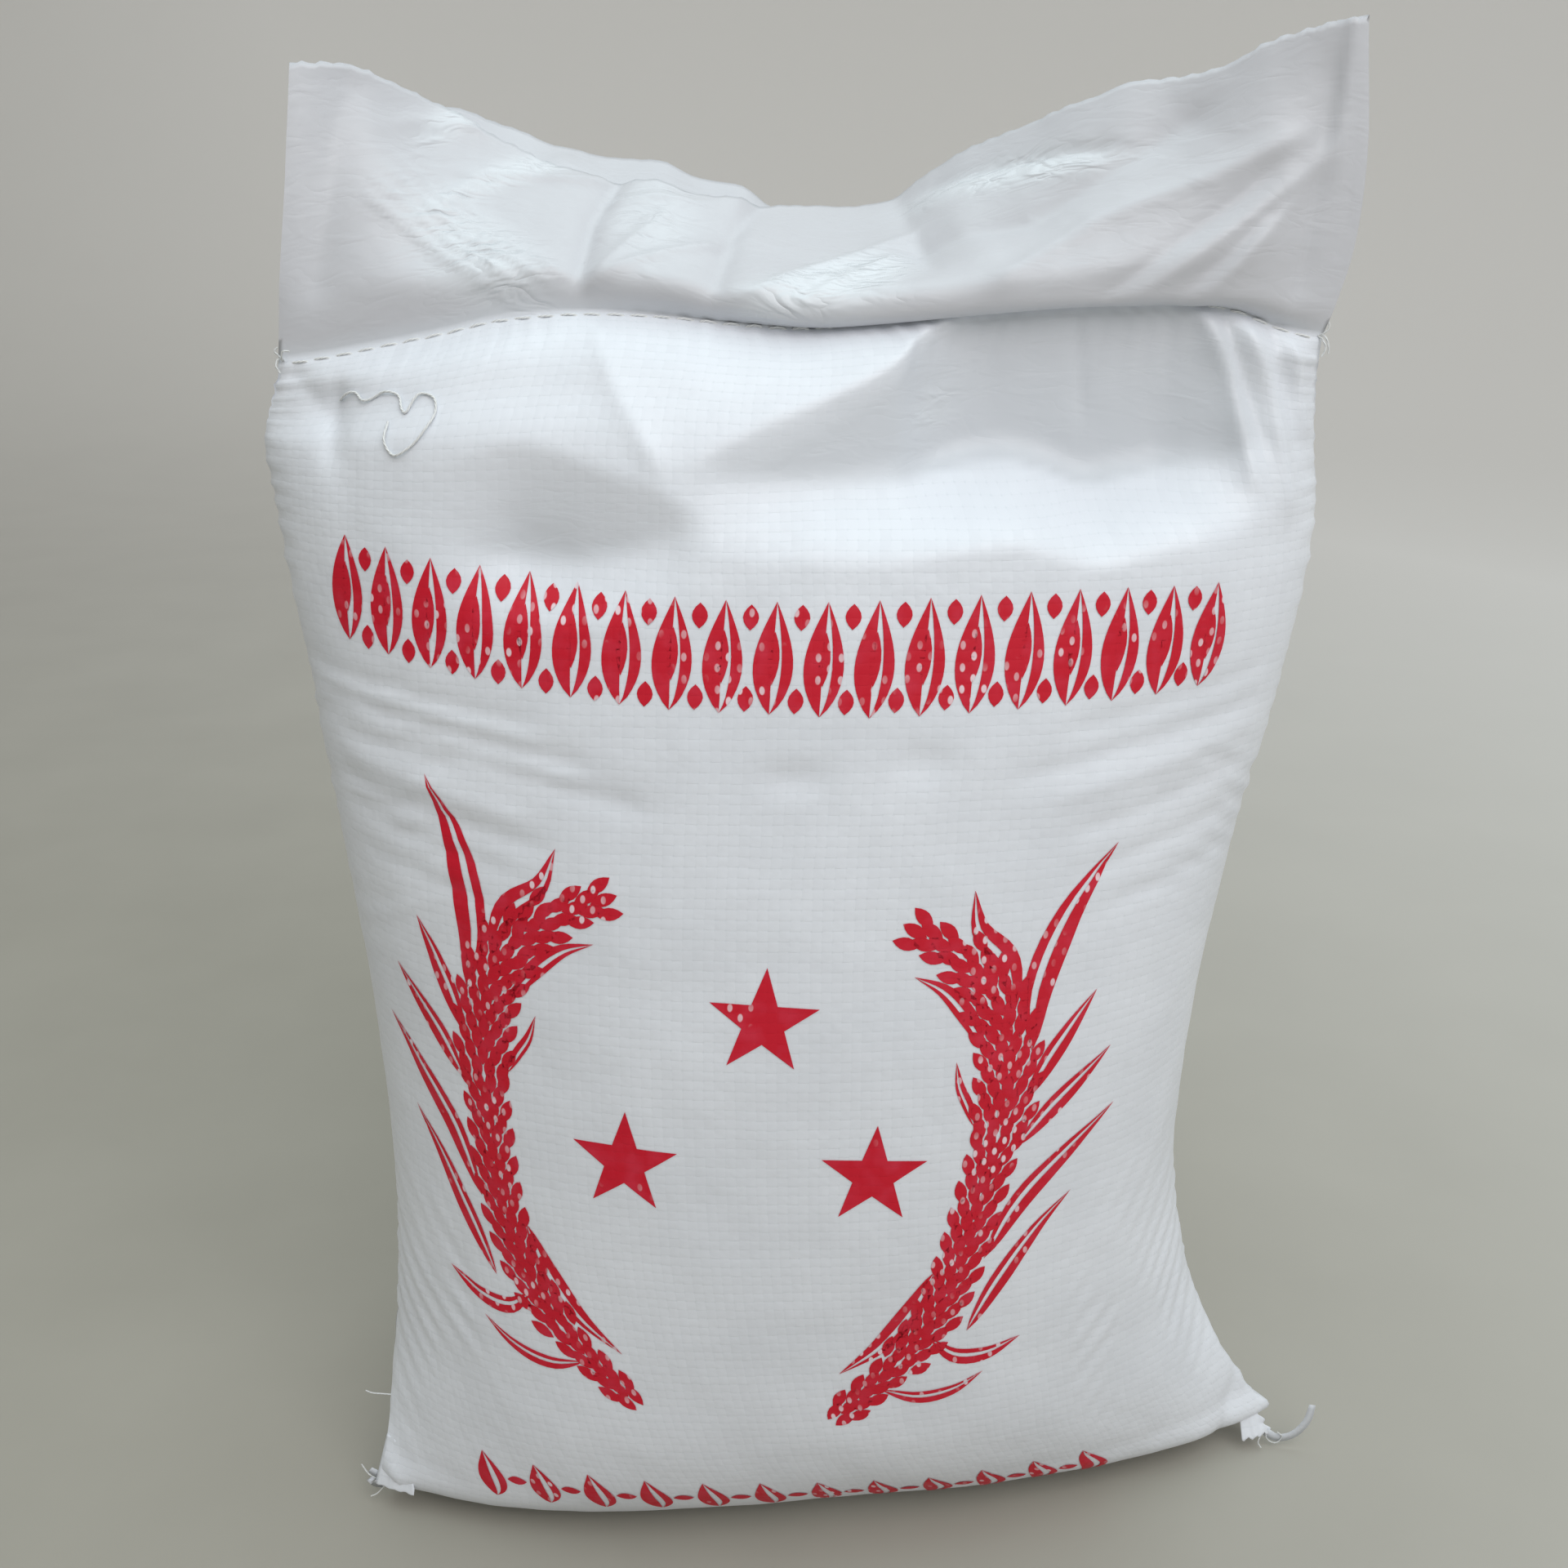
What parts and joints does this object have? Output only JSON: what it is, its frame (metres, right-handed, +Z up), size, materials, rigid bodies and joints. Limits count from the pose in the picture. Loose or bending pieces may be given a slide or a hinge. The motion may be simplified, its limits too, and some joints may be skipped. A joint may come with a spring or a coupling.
{
  "type": "rice sack",
  "caption": "Filled woven plastic sack of rice, sewn shut below a loose folded collar, that stands on its settled base",
  "frame": {"origin": "centre of the sack's overall box, on the surface that it stands on", "axes": "+X to the right as the printed front is seen, -Y out of the printed front, +Z up"},
  "size_m": [0.3414, 0.1542, 0.4823],
  "materials": {
    "woven_cloth": "white woven polypropylene tape cloth, slightly glossy",
    "thread": "white sewing thread"
  },
  "bodies": {
    "root": {"sack": "woven_cloth", "closing_stitch": "thread", "thread_tail": "thread"}
  },
  "joints": []
}
